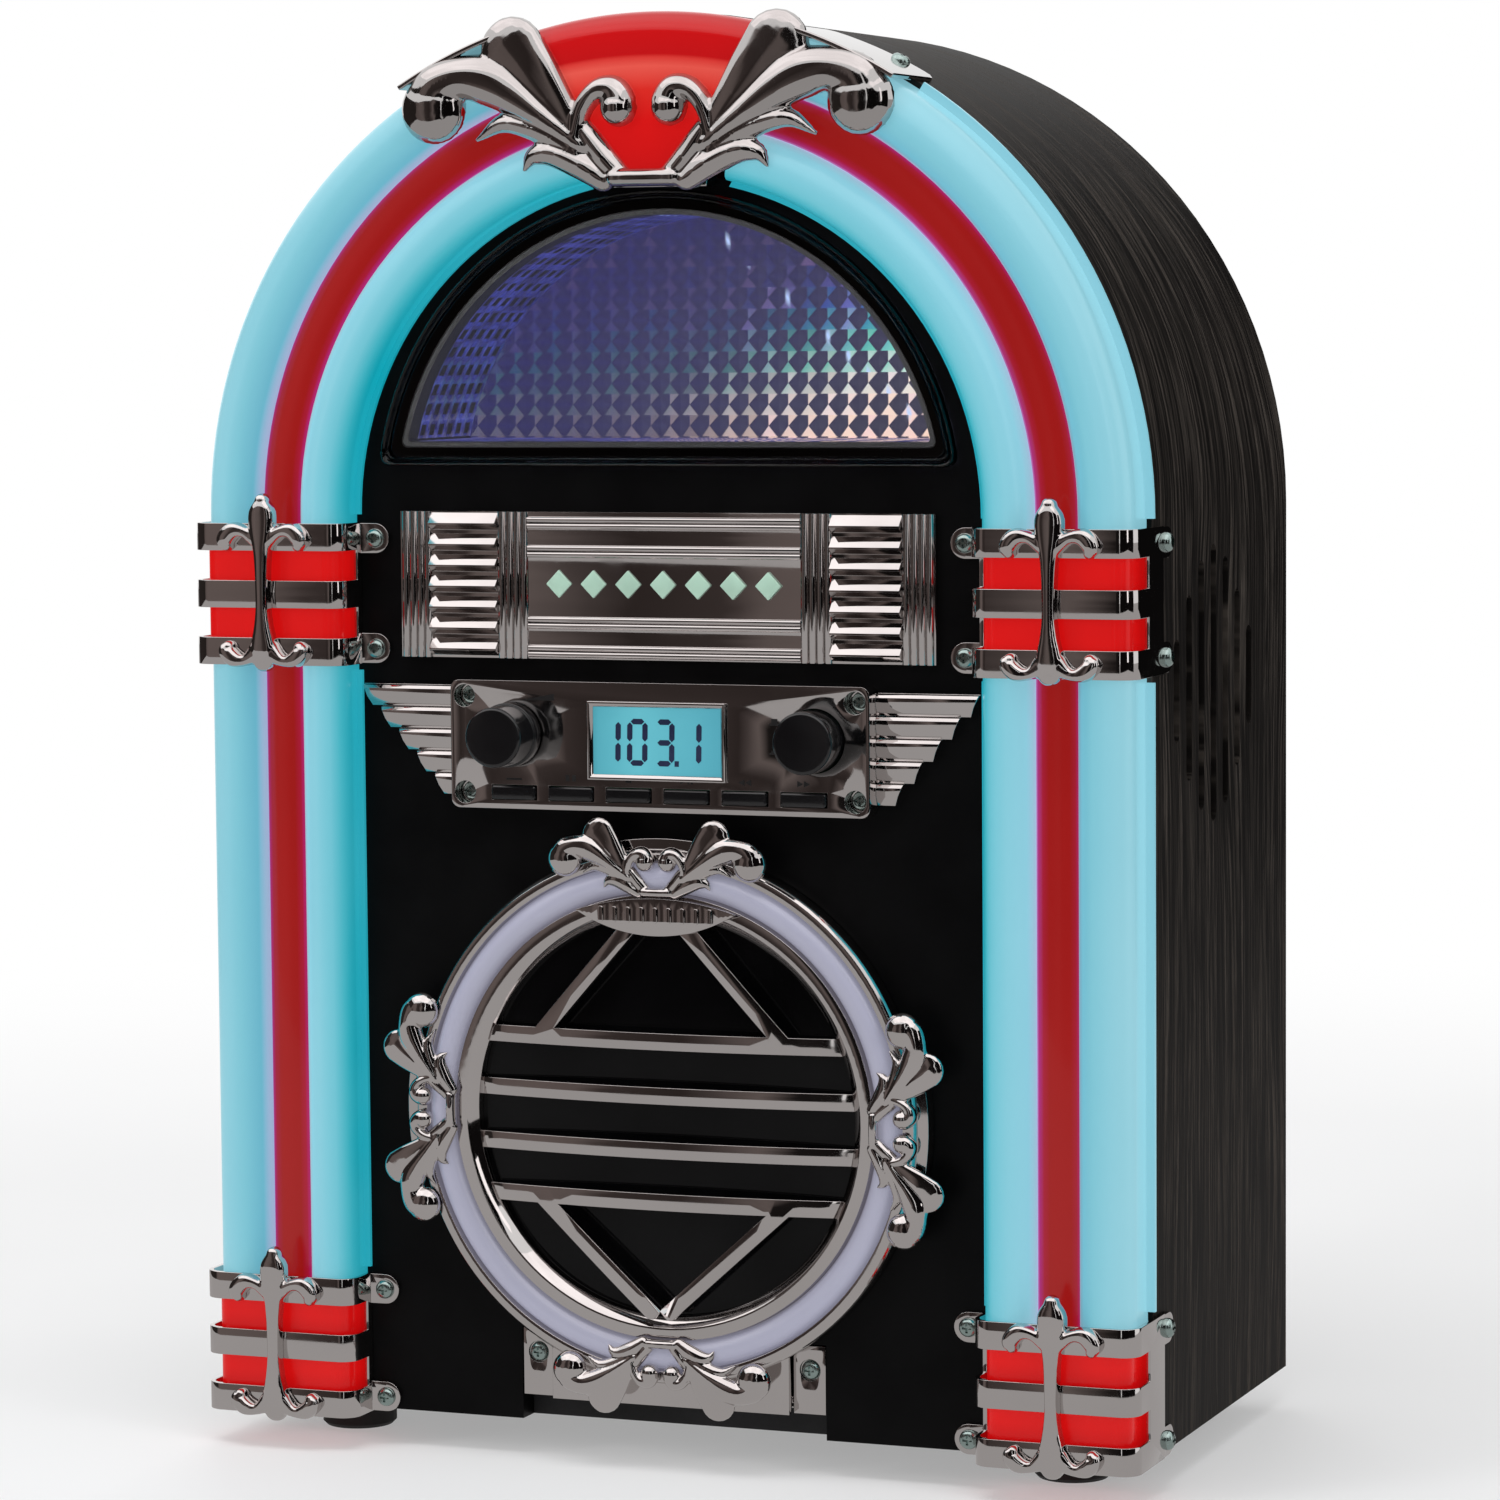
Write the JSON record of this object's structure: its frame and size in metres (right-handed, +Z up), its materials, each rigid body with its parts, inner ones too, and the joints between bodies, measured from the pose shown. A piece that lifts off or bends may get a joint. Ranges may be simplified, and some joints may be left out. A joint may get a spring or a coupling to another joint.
{
  "type": "tabletop cd jukebox",
  "caption": "Tabletop arched jukebox with a disc player behind a round hinged door, radio panel, lit tubes and chrome scroll trim.",
  "frame": {"origin": "centre of the footprint on the table, under the feet", "axes": "+X to the viewer's right, -Y out of the front, +Z up"},
  "size_m": [0.321, 0.1848, 0.4594],
  "materials": {
    "black_ash": "matt black stained grain",
    "black_board": "plain black paint",
    "cyan_diffuser": "translucent blue green, lit from inside",
    "red_strip": "glossy dark red",
    "red_collar": "glossy red",
    "chrome_trim": "bright chrome plating on plastic",
    "steel_screw": "zinc plated",
    "clear_lens": "clear",
    "prism_foil": "prismatic silver foil",
    "pale_inlay": "pale green enamel",
    "black_knob": "satin black",
    "lcd_glass": "lit display",
    "green_board": "circuit board",
    "light_ring": "milky white, lit",
    "smoke_window": "smoked clear",
    "black_plastic": "moulded",
    "galvanised": "pressed sheet",
    "white_nylon": "moulded",
    "rubber_foot": "moulded",
    "ferrite": "sintered magnet",
    "paper_cone": "pressed",
    "black_cloth": "open weave",
    "led_white": "lamps"
  },
  "bodies": {
    "cabinet": {"cabinet_shell": "black_ash", "base_board": "black_board", "feet": "rubber_foot", "case_screws": "steel_screw", "front_baffle": "black_ash", "rear_panel": "black_board", "mains_inlet": "black_plastic", "aux_socket": "black_plastic", "led_strips": "led_white", "arch_diffusers": "cyan_diffuser", "pillar_diffusers": "cyan_diffuser", "tube_strips": "red_strip", "clamp_collars": "red_collar", "tube_clamps": "chrome_trim", "clamp_fleurs": "chrome_trim", "trim_screws": "steel_screw", "crown_ornament": "chrome_trim", "crown_lens": "red_collar", "dome_bezel": "clear_lens", "dome_lens": "clear_lens", "dome_reflector": "prism_foil", "grille_panel": "chrome_trim", "name_inlays": "pale_inlay", "radio_panel": "chrome_trim", "wing_trims": "chrome_trim", "display_bezel": "chrome_trim", "display_module": "lcd_glass", "control_board": "green_board", "hinge_brackets": "galvanised", "catch_housing": "black_plastic", "disc_well": "black_plastic", "deck_chassis": "galvanised", "sled_rails": "galvanised", "spindle_motor": "galvanised", "sled_motor": "galvanised", "speaker_baskets": "galvanised", "speaker_magnets": "ferrite", "speaker_cones": "paper_cone", "speaker_cloths": "black_cloth", "transformer": "galvanised", "main_board": "green_board"},
    "door": {"door_frame": "chrome_trim", "door_light_ring": "light_ring", "door_grille": "chrome_trim", "door_window": "smoke_window", "push_plate": "chrome_trim", "door_ornaments": "chrome_trim"},
    "volume_control": {"volume_knob": "black_knob", "volume_shaft": "galvanised"},
    "light_control": {"light_button": "chrome_trim"},
    "turntable": {"disc_hub": "black_plastic"},
    "pickup": {"laser_sled": "black_plastic"},
    "pinion": {"sled_gear": "white_nylon"},
    "door_catch": {"catch_plunger": "white_nylon"},
    "key_1": {"key_button_1": "black_knob"},
    "key_2": {"key_button_2": "black_knob"},
    "key_3": {"key_button_3": "black_knob"},
    "key_4": {"key_button_4": "black_knob"},
    "key_5": {"key_button_5": "black_knob"},
    "key_6": {"key_button_6": "black_knob"}
  },
  "joints": [
    {"name": "door_hinge", "type": "hinge", "parent": "cabinet", "child": "door", "pos_m": [0, -0.0651, 0.024], "axis": [1, 0, 0], "range_deg": [0, 45]},
    {"name": "volume_turn", "type": "hinge", "parent": "cabinet", "child": "volume_control", "pos_m": [-0.0495, -0.0765, 0.2335], "axis": [0, 1, 0], "range_deg": [-150, 150]},
    {"name": "light_push", "type": "slide", "parent": "cabinet", "child": "light_control", "axis": [0, 1, 0], "range_m": [0, 0.003], "stiffness_N_per_m": 200, "springref_m": -0.002},
    {"name": "turntable_spin", "type": "hinge", "parent": "cabinet", "child": "turntable", "pos_m": [0, -0.0411, 0.113], "axis": [0, 1, 0], "continuous": true},
    {"name": "pickup_slide", "type": "slide", "parent": "cabinet", "child": "pickup", "axis": [1, 0, 0], "range_m": [0, 0.035]},
    {"name": "pinion_turn", "type": "hinge", "parent": "cabinet", "child": "pinion", "pos_m": [0.0395, -0.0261, 0.085], "axis": [0, 1, 0], "range_deg": [-1, 202]},
    {"name": "catch_push", "type": "slide", "parent": "cabinet", "child": "door_catch", "axis": [0, 1, 0], "range_m": [0, 0.0025], "stiffness_N_per_m": 300, "springref_m": -0.001},
    {"name": "key_1_push", "type": "slide", "parent": "cabinet", "child": "key_1", "axis": [0, 1, 0], "range_m": [0, 0.001], "stiffness_N_per_m": 300, "springref_m": -0.001},
    {"name": "key_2_push", "type": "slide", "parent": "cabinet", "child": "key_2", "axis": [0, 1, 0], "range_m": [0, 0.001], "stiffness_N_per_m": 300, "springref_m": -0.001},
    {"name": "key_3_push", "type": "slide", "parent": "cabinet", "child": "key_3", "axis": [0, 1, 0], "range_m": [0, 0.001], "stiffness_N_per_m": 300, "springref_m": -0.001},
    {"name": "key_4_push", "type": "slide", "parent": "cabinet", "child": "key_4", "axis": [0, 1, 0], "range_m": [0, 0.001], "stiffness_N_per_m": 300, "springref_m": -0.001},
    {"name": "key_5_push", "type": "slide", "parent": "cabinet", "child": "key_5", "axis": [0, 1, 0], "range_m": [0, 0.001], "stiffness_N_per_m": 300, "springref_m": -0.001},
    {"name": "key_6_push", "type": "slide", "parent": "cabinet", "child": "key_6", "axis": [0, 1, 0], "range_m": [0, 0.001], "stiffness_N_per_m": 300, "springref_m": -0.001}
  ],
  "couplings": [
    {"joint": "pinion_turn", "follows": "pickup_slide", "rad_per_m": 100}
  ]
}
